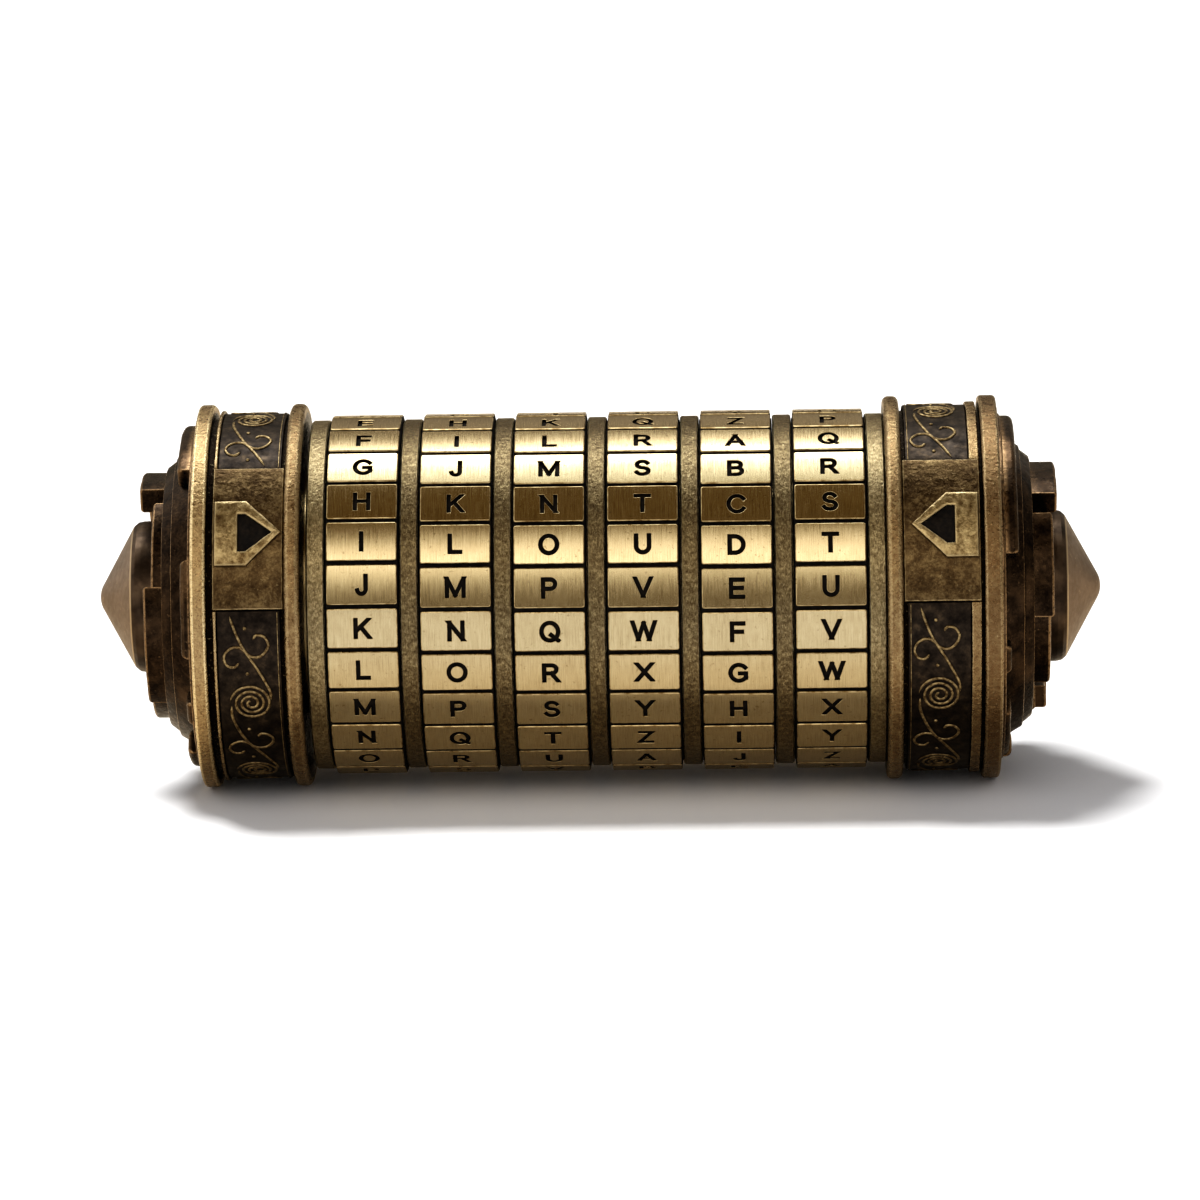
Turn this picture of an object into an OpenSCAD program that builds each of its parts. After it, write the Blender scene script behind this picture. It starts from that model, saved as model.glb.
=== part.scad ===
// Cryptex: a cylindrical combination box. Letter dials turn on a slotted sleeve, and a
// drawer tube with one lug per dial slides out once every code ring's notch meets the lugs.
// The cylinder lies along X, and rests on its four rims at Z = 0.

/* [Dials] */
// Number of letter dials
dial_count = 6; // [4:1:7]
// Letters around each dial
letter_count = 26; // [24:1:28]
// Width of a dial along the cylinder
dial_w = 9.16; // [8.6:0.02:9.4]
// Width of the fixed ring between two dials
spacer_w = 2.4; // [2:0.1:3]
// Running gap on each side of a dial
side_gap = 0.22; // [0.1:0.02:0.3]
// Radius to the corners of the flat letter tiles
dial_r = 23.5; // [23:0.1:23.8]
// Radius of the rings between the dials
spacer_r = 22.8; // [22.4:0.1:22.9]

/* [Cuffs and ends] */
// Outside diameter of the four rims
rim_d = 50; // [49.6:0.2:52]
// Length of the drawer's cuff; the fixed cuff is longer by the gap beside the dial stack
cuff_len = 14; // [13.6:0.1:15]
// Gap between the drawer's cuff and the dial stack
shadow_gap = 0.7; // [0.5:0.1:1]
// Angle of the pointers above the horizontal at the front
pointer_up = 30; // [20:0.5:40]
// How far the letter rows sit below the pointers, on average
row_lag = 3.8; // [0:0.1:5]

/* [Drawer] */
// Inside radius of the drawer tube
drawer_bore = 13.9; // [13.5:0.1:14]
// Thickness of the drawer tube and of the sleeve
wall = 1.4; // [1.2:0.1:1.4]
// Radial clearance between tube, sleeve and code rings
running = 0.08; // [0.04:0.01:0.1]
// Radius of a lug pin
lug_r = 1.4; // [1.2:0.1:1.5]

/* [Hidden] */
// Gap between two pieces fixed together
fit = 0.04;
$fn = 96;

dials = [for (i = [1:dial_count]) i];

// Stations along the cylinder
pitch = dial_w + spacer_w + 2 * side_gap;
end_spacer_w = 2.4;
stack_half = (dial_count - 1) * pitch / 2 + dial_w / 2 + side_gap + end_spacer_w;
stack_left = -stack_half;
stack_right = stack_half;
left_cuff_x = stack_half + shadow_gap;
right_cuff_len = cuff_len + shadow_gap;
function dial_x(i) = (i - (dial_count + 1) / 2) * pitch;
// The rows don't quite line up: what each dial adds to the lag
uneven = [-1.6, -0.4, 0.2, 0.3, 1, 0.6];
function lag(i) = row_lag + uneven[(i - 1) % len(uneven)];
// Shoulders that hold a dial clear of its neighbours
thrust_r_in = 21.2;
thrust_r_out = 22.3;
thrust_h = side_gap - running;

// Radii, from the drawer's bore outwards
rim_r = rim_d / 2;
drawer_r = drawer_bore + wall;
sleeve_bore = drawer_r + running;
sleeve_r = sleeve_bore + wall;
code_bore = sleeve_r + running;
lug_top = 19.2;
notch_top = lug_top + 0.4;
spline_root = 20.15;
spline_tip = 20.85;
flange_r = 20.5;

// Widths around the lug line
slot_w = 2 * lug_r + 0.4;
notch_w = slot_w + 0.2;
key_w = 2;
key_depth = 0.6;
code_w = 5;
lug_from_dial = 2.5;

// Cuff stations: the first two from its face on the dial side, the rest from its outer face
rim_w = 2.05;
band_from = rim_w + 0.5;
// Widths of the outer rim, of the groove beside it and of the lip beside that
left_edge = [2, 0.8, 0.45];
right_edge = [2.3, 0.4, 1.3];
flange_from = 6;
flange_w = 1.6;
spigot_from = flange_from + flange_w;
screw_z = 9.2;
screw_r = 1;
screw_from = 19.3;
screw_len = 3.7;
screw_angles = [60, 180, 300];

// Radii on the cuff
band_floor_r = 23.1;
band_r = 23.8;
lip_r = 24.2;
plate_r = 24.3;
arrow_r = 24.8;
plate_half = 23.5;

// End cap: tiers as radius at foot and top, and height of the top above the cuff's outer face
disc_r = 22.6;
tiers = [[disc_r, disc_r, 0.5], [19.8, 18.3, 3], [17.9, 16.9, 4.3]];
tier_top = 4.3;
tier_outline = [for (i = [0:2], k = [0, 1])
    [tiers[i][k], k == 1 ? tiers[i][2] : i == 0 ? 0 : tiers[i - 1][2]]];
stud_r = 2;
nut_af = 7;
nut_h = 3.2;
spigot_recess = 3.4;
// Both caps are one casting, turned by this much about the cylinder in opposite senses
arc_turn = 11;
// Raised arcs: inner radius, outer radius, first angle, last angle, height. Where two join, the
// lower one is stepped in and runs on a little way inside the higher one
arcs = [
    [12.8, 16.2, 59, 132.5, 7.6], [12.8, 16.2, -58.4, 4.3, 6.7], [13.1, 15.9, 2, 49.6, 5.7],
    [13.1, 15.9, -89.5, -56, 6.3], [12.8, 16.2, 144.5, 194.5, 6.9],
    [13.1, 15.9, 192, 232, 6.4], [12.8, 16.2, 261, 269, 4.8],
    [10.3, 13.4, 122, 250, 6.6],
    [19, 22.3, 47, 169.3, 2.2], [19, 22.3, -21.3, 11.9, 1.5], [19, 22.3, -48.3, -38.7, 1.2],
    [19, 22.3, -90, -66, 1.7], [19, 22.3, 200.4, 210.4, 1.2], [19, 22.3, 227.6, 261, 1.2]
];
finial_r = 9.9;
// Soft shoulder between the boss and the cone, as radius and height, then the rounded nose
shoulder = [[finial_r, 7.6], [9.75, 8.35], [9.25, 8.95]];
tip_h = 13.55;
nose_r = 3.4;
nose_angle = 26;
nose = [for (k = [3:-1:0]) let (a = k * nose_angle / 3)
    [nose_r * sin(a), tip_h - nose_r * (1 - cos(a))]];

// The cylinder's own frame: Z runs along it, angle 0 faces the back and 90 faces up
module on_axis() { translate([0, 0, rim_r]) rotate([90, 0, 90]) children(); }
// The same turned end for end: Z runs out of the left end, and angle 0 faces the front
module on_left_axis() { translate([0, 0, rim_r]) rotate([90, 0, 270]) children(); }
pointer_a = 180 - pointer_up;

module tube(r_in, r_out, from, to) {
    translate([0, 0, from]) difference() {
        cylinder(r = r_out, h = to - from);
        translate([0, 0, -1]) cylinder(r = r_in, h = to - from + 2);
    }
}

module arc_block(r_in, r_out, a0, a1, from, to, bevel) {
    rotate([0, 0, a0]) rotate_extrude(angle = a1 - a0)
        polygon([[r_in, from], [r_out, from], [r_out, to - bevel], [r_out - bevel, to],
            [r_in + bevel, to], [r_in, to - bevel]]);
}

// A straight channel along the cylinder at an angle, from radius 0 outwards
module channel(angle, width, r_out, from, to) {
    rotate([0, 0, angle]) translate([0, -width / 2, from]) cube([r_out, width, to - from]);
}

// A ring of teeth, as points of a closed outline
function gear_outline(root, tip, half, turn) = [
    for (i = [0:letter_count - 1], s = [[root, -1.5], [tip, -0.8], [tip, 0.8], [root, 1.5]])
        let (a = turn + i * 360 / letter_count + s[1] * half) s[0] * [cos(a), sin(a)]
];
spline_half = 90 / letter_count * 0.7;

module sleeve() {
    color("peru") on_axis() difference() {
        tube(sleeve_bore, sleeve_r, stack_left, stack_right + spigot_from);
        channel(pointer_a, slot_w, sleeve_r + 1, stack_left - 1,
            dial_x(dial_count) + lug_from_dial + lug_r + 0.4);
        rotate([0, 0, pointer_a + 180])
            translate([sleeve_r - key_depth, -key_w / 2, stack_left - 1])
                cube([2, key_w, stack_right - stack_left + 1]);
    }
}

// Rings on the ends of the sleeve and the drawer tube, each clamped between cuff and cap
module sleeve_flange() {
    color("peru") on_axis()
        tube(sleeve_r + fit, flange_r, stack_right + flange_from, stack_right + spigot_from);
}

module drawer_flange() {
    color("peru") on_left_axis()
        tube(drawer_r + fit, flange_r, left_cuff_x + flange_from, left_cuff_x + spigot_from);
}

// A fixed ring that sits on the sleeve: a notch lets the lugs by, and a key stops it turning
module fixed_ring(from, width) {
    on_axis() {
        difference() {
            ring_body(from, width);
            channel(pointer_a, notch_w, notch_top, from - 1, from + width + 1);
        }
        rotate([0, 0, pointer_a + 180])
            translate([sleeve_r - key_depth + 0.1, -key_w / 2 + 0.1, from])
                cube([key_depth + 0.4, key_w - 0.2, width]);
    }
}

module ring_body(from, width) {
    bevel = 0.2;
    rotate_extrude() polygon([[sleeve_r + fit, from], [spacer_r - bevel, from],
        [spacer_r, from + bevel], [spacer_r, from + width - bevel],
        [spacer_r - bevel, from + width], [sleeve_r + fit, from + width]]);
}

module lock_ring() { color("darkgoldenrod") fixed_ring(stack_left, end_spacer_w); }
module right_end_spacer() {
    color("darkgoldenrod") fixed_ring(stack_right - end_spacer_w, end_spacer_w - fit);
}
module spacer_ring(i) {
    color("darkgoldenrod") fixed_ring(dial_x(i) + dial_w / 2 + side_gap, spacer_w);
}

// Outside of a letter ring: flat tiles with a square groove between each two
module letter_outline(lag) {
    step = 360 / letter_count;
    groove_half = 0.6;
    groove_depth = 0.45;
    flat_r = dial_r * cos(step / 2);
    first = pointer_a + lag;
    polygon([for (i = [0:letter_count - 1], k = [0:3])
        let (mid = first + i * step,
            off = (k < 2 ? -1 : 1) * (step / 2 - groove_half),
            r = flat_r / cos(off) - (k == 0 || k == 3 ? groove_depth : 0))
        r * [cos(mid + off), sin(mid + off)]]);
}

module letter_ring(i) {
    color("khaki") on_axis() translate([0, 0, dial_x(i)]) difference() {
        union() {
            translate([0, 0, -dial_w / 2]) linear_extrude(dial_w) letter_outline(lag(i));
            tube(thrust_r_in, thrust_r_out, -dial_w / 2 - thrust_h, dial_w / 2 + thrust_h);
        }
        translate([0, 0, -dial_w / 2 - 1]) linear_extrude(1 + code_w + 0.05)
            polygon(gear_outline(spline_root + 0.06, spline_tip + 0.06, spline_half * 1.05, pointer_a));
        cylinder(r = notch_top + 0.2, h = dial_w);
    }
}

module code_ring(i) {
    color("goldenrod") on_axis() translate([0, 0, dial_x(i) - dial_w / 2]) difference() {
        linear_extrude(code_w)
            polygon(gear_outline(spline_root, spline_tip, spline_half, pointer_a));
        translate([0, 0, -1]) cylinder(r = code_bore, h = code_w + 2);
        channel(pointer_a, notch_w, notch_top, -1, code_w + 1);
    }
}

// Radial pins, one in each dial's free chamber
module lug_pins(r_in, r_out) {
    on_axis() for (i = dials)
        translate([0, 0, dial_x(i) + lug_from_dial]) rotate([0, 0, pointer_a])
            translate([r_in, 0, 0]) rotate([0, 90, 0]) cylinder(r = lug_r, h = r_out - r_in);
}

module drawer_tube() {
    mouth_gap = 0.4;
    color("peru") difference() {
        on_left_axis()
            tube(drawer_bore, drawer_r, mouth_gap - stack_right - spigot_from,
                left_cuff_x + spigot_from);
        lug_pins(drawer_bore - 1, drawer_r + 1);
    }
}

module code_lugs() {
    color("silver") lug_pins(drawer_bore + 0.1, lug_top);
}

// A cuff from its dial-side face at Z 0 to its outer face; the lip stops short of the plate
module cuff(bore_r, pointer_angle, len, edge) {
    bead = 0.6;
    root_r = band_floor_r - 0.5;
    groove_to = len - edge[0];
    lip_to = groove_to - edge[1];
    band_to = lip_to - edge[2];
    lip_bevel = 0.15;
    difference() {
        union() {
            rotate_extrude() polygon([[bore_r, 0], [rim_r - bead, 0], [rim_r, bead],
                [rim_r, rim_w - bead], [rim_r - bead, rim_w], [band_floor_r, rim_w],
                [band_floor_r, groove_to], [rim_r - bead, groove_to], [rim_r, groove_to + bead],
                [rim_r, len - bead], [rim_r - bead, len], [flange_r + fit, len],
                [flange_r + fit, flange_from], [bore_r, flange_from]]);
            rotate([0, 0, pointer_angle + plate_half])
                rotate_extrude(angle = 360 - 2 * plate_half)
                    polygon([[root_r, band_to], [lip_r - lip_bevel, band_to],
                        [lip_r, band_to + lip_bevel], [lip_r, lip_to - lip_bevel],
                        [lip_r - lip_bevel, lip_to], [root_r, lip_to]]);
        }
        for (a = screw_angles) rotate([0, 0, pointer_angle + a])
            translate([screw_from - 1, 0, screw_z]) rotate([0, 90, 0])
                cylinder(r = screw_r, h = screw_len + 2);
    }
}

module scroll_band(pointer_angle, len, edge) {
    gap = 0.2;
    band_to = len - edge[0] - edge[1] - edge[2];
    rotate([0, 0, pointer_angle + plate_half + gap])
        rotate_extrude(angle = 360 - 2 * (plate_half + gap))
            translate([band_floor_r + fit, band_from])
                square([band_r - band_floor_r - fit, band_to - band_from - fit]);
}

// The saddle plate over the band, with its raised arrow; outward is the side the cap is on
module pointer_plate(pointer_angle, len, edge) {
    lip_to = len - edge[0] - edge[1];
    base_z = lip_to - 0.3;
    arrow = [[0, -4.33], [4.1, -4.33], [8.6, 0], [4.1, 4.33], [0, 4.33]];
    hole = [[3.05, -2.45], [4, -2.45], [7.3, 0], [4, 2.45], [3.05, 2.45]];
    plate_gap = 0.1;
    union() {
        rotate([0, 0, pointer_angle - plate_half + plate_gap])
            rotate_extrude(angle = 2 * (plate_half - plate_gap))
                translate([band_floor_r + fit, rim_w + fit])
                    square([plate_r - band_floor_r - fit, lip_to - rim_w - fit]);
        intersection() {
            tube(plate_r - 0.3, arrow_r, 0, len);
            rotate([0, 0, pointer_angle]) translate([flange_r, 0, base_z]) rotate([0, 90, 0])
                linear_extrude(rim_r - flange_r) difference() {
                    polygon(arrow);
                    polygon(hole);
                }
        }
    }
}

// Cap with its spigot below Z 0 and its tiers and arcs above
module end_cap(pointer_angle, turn, len) {
    spigot = len - spigot_from;
    difference() {
        union() {
            translate([0, 0, -spigot]) cylinder(r = flange_r, h = spigot);
            rotate_extrude() polygon([[0, 0], each tier_outline, [0, tier_top]]);
            for (a = arcs)
                arc_block(a[0], a[1], a[2] + turn, a[3] + turn, 0.1, a[4], 0.25);
        }
        translate([0, 0, -spigot - 1]) cylinder(r = drawer_bore - 1, h = 1 + spigot_recess);
        translate([0, 0, -spigot]) cylinder(r = stud_r + 0.1, h = spigot + 10);
        for (a = screw_angles) rotate([0, 0, pointer_angle + a])
            translate([screw_from - 0.1, 0, screw_z - len]) rotate([0, 90, 0])
                cylinder(r = screw_r, h = screw_len);
    }
}

module cap_screws(pointer_angle, len) {
    slot = 0.4;
    for (a = screw_angles) rotate([0, 0, pointer_angle + a])
        translate([screw_from, 0, screw_z - len]) rotate([0, 90, 0]) difference() {
            cylinder(r = screw_r - 0.03, h = screw_len);
            translate([-slot / 2, -2 * screw_r, screw_len - 0.6])
                cube([slot, 4 * screw_r, 1]);
        }
}

// Threaded stud, boss and cone
module finial(len) {
    stud_from = spigot_recess - (len - spigot_from) - nut_h;
    translate([0, 0, stud_from]) cylinder(r = stud_r, h = tier_top - stud_from + 0.5);
    rotate_extrude() polygon([[0, tier_top], [finial_r - 0.3, tier_top],
        [finial_r, tier_top + 0.3], each shoulder, each nose]);
}

module finial_nut(len) {
    translate([0, 0, spigot_recess - (len - spigot_from) - nut_h]) difference() {
        cylinder(r = nut_af / 2 / cos(30), h = nut_h, $fn = 6);
        translate([0, 0, -1]) cylinder(r = stud_r + fit, h = nut_h + 2);
    }
}

module left_base() { on_left_axis() translate([0, 0, left_cuff_x]) children(); }
module left_cuff() {
    color("peru") left_base() cuff(drawer_r + fit, pointer_up, cuff_len, left_edge);
}
module left_scroll_band() {
    color("dimgray") left_base() scroll_band(pointer_up, cuff_len, left_edge);
}
module left_pointer_plate() {
    color("darkgoldenrod") left_base() pointer_plate(pointer_up, cuff_len, left_edge);
}
module left_end() { on_left_axis() translate([0, 0, left_cuff_x + cuff_len]) children(); }
module left_end_cap() { color("saddlebrown") left_end() end_cap(pointer_up, arc_turn, cuff_len); }
module left_cap_screws() { color("silver") left_end() cap_screws(pointer_up, cuff_len); }
module left_finial() { color("sienna") left_end() finial(cuff_len); }
module left_finial_nut() { color("silver") left_end() finial_nut(cuff_len); }

module right_base() { on_axis() translate([0, 0, stack_right]) children(); }
module right_cuff() {
    color("peru") right_base() cuff(sleeve_r + fit, pointer_a, right_cuff_len, right_edge);
}
module right_scroll_band() {
    color("dimgray") right_base() scroll_band(pointer_a, right_cuff_len, right_edge);
}
module right_pointer_plate() {
    color("darkgoldenrod") right_base() pointer_plate(pointer_a, right_cuff_len, right_edge);
}
module right_end() { on_axis() translate([0, 0, stack_right + right_cuff_len]) children(); }
module right_end_cap() { color("saddlebrown") right_end() end_cap(pointer_a, -arc_turn, right_cuff_len); }
module right_cap_screws() { color("silver") right_end() cap_screws(pointer_a, right_cuff_len); }
module right_finial() { color("sienna") right_end() finial(right_cuff_len); }
module right_finial_nut() { color("silver") right_end() finial_nut(right_cuff_len); }

sleeve();
sleeve_flange();
lock_ring();
right_end_spacer();
for (i = [1:dial_count - 1]) spacer_ring(i);
for (i = dials) letter_ring(i);
for (i = dials) code_ring(i);
drawer_tube();
drawer_flange();
code_lugs();
left_cuff();
left_scroll_band();
left_pointer_plate();
left_end_cap();
left_cap_screws();
left_finial();
left_finial_nut();
right_cuff();
right_scroll_band();
right_pointer_plate();
right_end_cap();
right_cap_screws();
right_finial();
right_finial_nut();
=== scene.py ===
"""Cryptex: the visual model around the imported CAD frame. Metres, in the CAD frame."""
from math import acos, atan2, ceil, cos, degrees, hypot, pi, radians, sin, sqrt, tan

import bmesh
import bpy
import numpy as np
from mathutils import Matrix, Vector, noise
from mathutils.geometry import tessellate_polygon


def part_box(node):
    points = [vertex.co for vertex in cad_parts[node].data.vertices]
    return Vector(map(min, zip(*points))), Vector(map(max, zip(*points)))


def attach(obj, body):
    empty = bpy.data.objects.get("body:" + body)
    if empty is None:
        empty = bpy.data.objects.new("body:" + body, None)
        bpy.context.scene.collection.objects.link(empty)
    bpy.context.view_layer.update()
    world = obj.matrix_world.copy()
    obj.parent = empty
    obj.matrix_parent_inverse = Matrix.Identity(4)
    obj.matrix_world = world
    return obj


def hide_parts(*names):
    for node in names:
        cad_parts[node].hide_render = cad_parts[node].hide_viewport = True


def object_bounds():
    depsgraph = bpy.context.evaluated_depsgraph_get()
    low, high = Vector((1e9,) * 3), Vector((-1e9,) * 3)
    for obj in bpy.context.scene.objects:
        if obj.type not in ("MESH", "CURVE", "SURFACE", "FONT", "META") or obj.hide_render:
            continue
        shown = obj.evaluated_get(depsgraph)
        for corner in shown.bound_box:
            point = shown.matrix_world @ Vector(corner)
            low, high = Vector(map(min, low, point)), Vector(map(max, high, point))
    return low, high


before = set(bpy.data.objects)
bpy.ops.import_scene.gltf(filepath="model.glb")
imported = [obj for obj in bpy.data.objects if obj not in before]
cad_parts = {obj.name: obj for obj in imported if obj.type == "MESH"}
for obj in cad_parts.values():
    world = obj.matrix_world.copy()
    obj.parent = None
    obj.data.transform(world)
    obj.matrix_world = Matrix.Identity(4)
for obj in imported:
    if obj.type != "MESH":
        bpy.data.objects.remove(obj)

cad_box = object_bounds()
scene = bpy.context.scene

MM = 0.001
DIALS = range(1, 7)
LETTERS = "ABCDEFGHIJKLMNOPQRSTUVWXYZ"
STEP = 360 / len(LETTERS)

# Angles are degrees above the horizontal, from the front (-Y) up and over to the back.
POINTER_UP = 30
CODE = "ILOUDT"  # the letters at the pointers
LAGS = [3.8 + uneven for uneven in (-1.6, -0.4, 0.2, 0.3, 1, 0.6)]  # how far each dial is below them

AXIS_Z = (cad_box[0].z + cad_box[1].z) / 2


def on_cylinder(x, r, angle):
    """The point at x along the cylinder, r from its axis, at that angle."""
    a = radians(angle)
    return Vector((x, -r * cos(a), AXIS_Z + r * sin(a)))


def added(name, data):
    """A new object in the scene."""
    obj = bpy.data.objects.new(name, data)
    scene.collection.objects.link(obj)
    return obj


# ---------- meshes

WELD = 1e-6
TOO_SHORT = 1e-7
NARROWEST = 0.02 * MM
WORN_RADIUS = 0.3 * MM  # a bend as tight as this is marked in full
CREASE = 0.3            # radians that a crease may turn before it is marked whatever its width


class Shell:
    """Vertices and faces of a piece, built up from grids and fills."""

    def __init__(self):
        self.points = []
        self.faces = []
        self.slots = []

    def add(self, points, faces, slot=0):
        start = len(self.points)
        self.points.extend(points)
        self.faces.extend(tuple(start + i for i in f) for f in faces)
        self.slots.extend([slot] * len(faces))

    def lid(self, points, slot=0):
        self.add(points, [tuple(range(len(points)))], slot)

    def grid(self, rows, wrap_rows=False, wrap_columns=False, slot=0):
        n, m = len(rows), len(rows[0])
        faces = [
            (i * m + j, i * m + (j + 1) % m, (i + 1) % n * m + (j + 1) % m, (i + 1) % n * m + j)
            for i in range(n if wrap_rows else n - 1)
            for j in range(m if wrap_columns else m - 1)
        ]
        self.add([p for row in rows for p in row], faces, slot)

    def piece(self, name, body, materials, sharp=35):
        mesh = bpy.data.meshes.new(name)
        mesh.from_pydata(self.points, [], self.faces)
        for polygon, slot in zip(mesh.polygons, self.slots):
            polygon.material_index = slot
        for m in materials:
            mesh.materials.append(m)
        bm = bmesh.new()
        bm.from_mesh(mesh)
        bmesh.ops.remove_doubles(bm, verts=bm.verts, dist=WELD)
        bmesh.ops.dissolve_degenerate(bm, edges=bm.edges, dist=TOO_SHORT)
        bmesh.ops.recalc_face_normals(bm, faces=bm.faces)
        marks = edge_marks(bm)
        bm.to_mesh(mesh)
        bm.free()
        for attribute, values in marks.items():
            mesh.attributes.new(attribute, "FLOAT", "POINT").data.foreach_set("value", values)
        mesh.shade_smooth()
        mesh.set_sharp_from_angle(angle=radians(sharp))
        obj = added(name, mesh)
        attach(obj, body)
        return obj


def edge_marks(bm):
    """How tightly the surface turns at each point: outwards as worn, inwards as recess, 0 to 1."""
    marks = {"worn": [0.0] * len(bm.verts), "recess": [0.0] * len(bm.verts)}
    bm.verts.index_update()
    for edge in bm.edges:
        length = edge.calc_length()
        if len(edge.link_faces) != 2 or length < TOO_SHORT:
            continue
        turn = edge.calc_face_angle_signed(0.0)
        width = max(sum(f.calc_area() for f in edge.link_faces) / (2 * length), NARROWEST)
        tightness = min(1.0, max(abs(turn) / width * WORN_RADIUS, abs(turn) - CREASE))
        values = marks["worn" if turn > 0 else "recess"]
        for v in edge.verts:
            values[v.index] = max(values[v.index], tightness)
    return marks


def filleted(corners, arc_steps=5):
    """A closed outline from corners (x, y, radius), each radius turned into an arc."""
    out = []
    for i, (x, y, radius) in enumerate(corners):
        here = Vector((x, y))
        if radius <= 0:
            out.append(here)
            continue
        back = (Vector(corners[i - 1][:2]) - here).normalized()
        ahead = (Vector(corners[(i + 1) % len(corners)][:2]) - here).normalized()
        half = acos(max(-1, min(1, back.dot(ahead)))) / 2
        reach = radius / tan(half)
        centre = here + (back + ahead).normalized() * (radius / sin(half))
        start, end = here + back * reach - centre, here + ahead * reach - centre
        turn = start.angle_signed(end)
        for k in range(arc_steps + 1):
            a = -turn * k / arc_steps
            out.append(centre + Matrix.Rotation(a, 2) @ start)
    return out


def along_loop(corners, spacing):
    """A closed outline with extra points along its straight sides."""
    out = []
    for a, b in zip(corners, corners[1:] + corners[:1]):
        count = max(1, round((b - a).length / spacing))
        out += [a + (b - a) * k / count for k in range(count)]
    return out


def lathe(shell, outline, segments=288, slot=0, closed=True):
    """Turns an outline of (x, r) points about the cylinder's axis."""
    rows = [
        [on_cylinder(x, r, 360 * k / segments) for k in range(segments)] for x, r in outline
    ]
    shell.grid(rows, wrap_rows=closed, wrap_columns=True, slot=slot)


def stations(a, b, edge, step):
    """Places from a to b, step apart and closer together within edge of each end."""
    near = [edge * (1 - cos(pi / 2 * k / 4)) for k in range(5)]
    count = max(1, ceil((b - a - 2 * edge) / step))
    inner = [a + edge + (b - a - 2 * edge) * k / count for k in range(1, count)]
    return [a + d for d in near] + inner + [b - d for d in reversed(near)]


def rounded_drop(p, a, b, edge):
    """How far a quarter-round edge has dropped at p, between the ends a and b."""
    inside = min(p - a, b - p)
    if inside >= edge:
        return 0
    return edge - sqrt(max(0, edge * edge - (edge - inside) ** 2))


def block(shell, a, b, edge, step, top, base, place):
    """A closed block between the corners a and b, with rounded upper edges.

    place(p, q, height) gives the point. edge and step are pairs in the units of p and q."""
    ps = stations(a[0], b[0], edge[0], step[0])
    qs = stations(a[1], b[1], edge[1], step[1])
    depth = edge[0]

    def height(p, q):
        drop_p = rounded_drop(p, a[0], b[0], edge[0])
        drop_q = rounded_drop(q, a[1], b[1], edge[1]) * depth / edge[1]
        return top - min(depth, hypot(drop_p, drop_q))

    upper = [[place(p, q, height(p, q)) for q in qs] for p in ps]
    lower = [[place(p, q, base) for q in qs] for p in ps]
    shell.grid(upper)
    shell.grid(lower)
    for end in (0, -1):
        shell.grid([upper[end], lower[end]])
    for end in (0, -1):
        shell.grid([[row[end] for row in upper], [row[end] for row in lower]])


def wear(obj, amount, size):
    """Small dents and unevenness, as a cast and handled surface has."""
    mesh = obj.data
    for v, normal in zip(mesh.vertices, [n.vector.copy() for n in mesh.vertex_normals]):
        v.co += normal * (amount * noise.noise(v.co / size))


def smooth_path(points, per_span=8):
    """A Catmull-Rom curve through 2-D points."""
    ends = [2 * points[0] - points[1], *points, 2 * points[-1] - points[-2]]
    out = []
    for a, b, c, d in zip(ends, ends[1:], ends[2:], ends[3:]):
        for k in range(per_span):
            t = k / per_span
            out.append(0.5 * (2 * b + (c - a) * t + (2 * a - 5 * b + 4 * c - d) * t * t
                              + (3 * b - a - 3 * c + d) * t ** 3))
    return out + [points[-1]]


# ---------- materials

class Nodes:
    """Short calls for building a node tree."""

    def __init__(self, tree):
        self.tree = tree

    def node(self, kind, **settings):
        made = self.tree.nodes.new(kind)
        for key, value in settings.items():
            setattr(made, key, value)
        return made

    def put(self, value, socket):
        if isinstance(value, bpy.types.NodeSocket):
            self.tree.links.new(value, socket)
        else:
            socket.default_value = value

    def axes(self, vector):
        """A vector's parts, by their names X, Y and Z."""
        made = self.node("ShaderNodeSeparateXYZ")
        self.put(vector, made.inputs[0])
        return made.outputs

    def ramp(self, value, *stops):
        made = self.node("ShaderNodeValToRGB")
        elements = made.color_ramp.elements
        while len(elements) < len(stops):
            elements.new(0.5)
        for element, (place, colour) in zip(elements, stops):
            element.position = place
            element.color = (*colour, 1)
        self.put(value, made.inputs["Fac"])
        return made.outputs["Color"]

    def math(self, operation, a, b=0.0, clamp=False):
        made = self.node("ShaderNodeMath", operation=operation, use_clamp=clamp)
        self.put(a, made.inputs[0])
        self.put(b, made.inputs[1])
        return made.outputs[0]

    def fit(self, value, low, high, to_low=0.0, to_high=1.0, curve="SMOOTHSTEP"):
        made = self.node("ShaderNodeMapRange", interpolation_type=curve)
        for name, x in (("Value", value), ("From Min", low), ("From Max", high),
                        ("To Min", to_low), ("To Max", to_high)):
            self.put(x, made.inputs[name])
        return made.outputs[0]

    def mix(self, factor, a, b):
        made = self.node("ShaderNodeMix", data_type="RGBA")
        for index, value in ((0, factor), (6, a), (7, b)):
            self.put((*value, 1) if isinstance(value, tuple) else value, made.inputs[index])
        return made.outputs[2]


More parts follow.
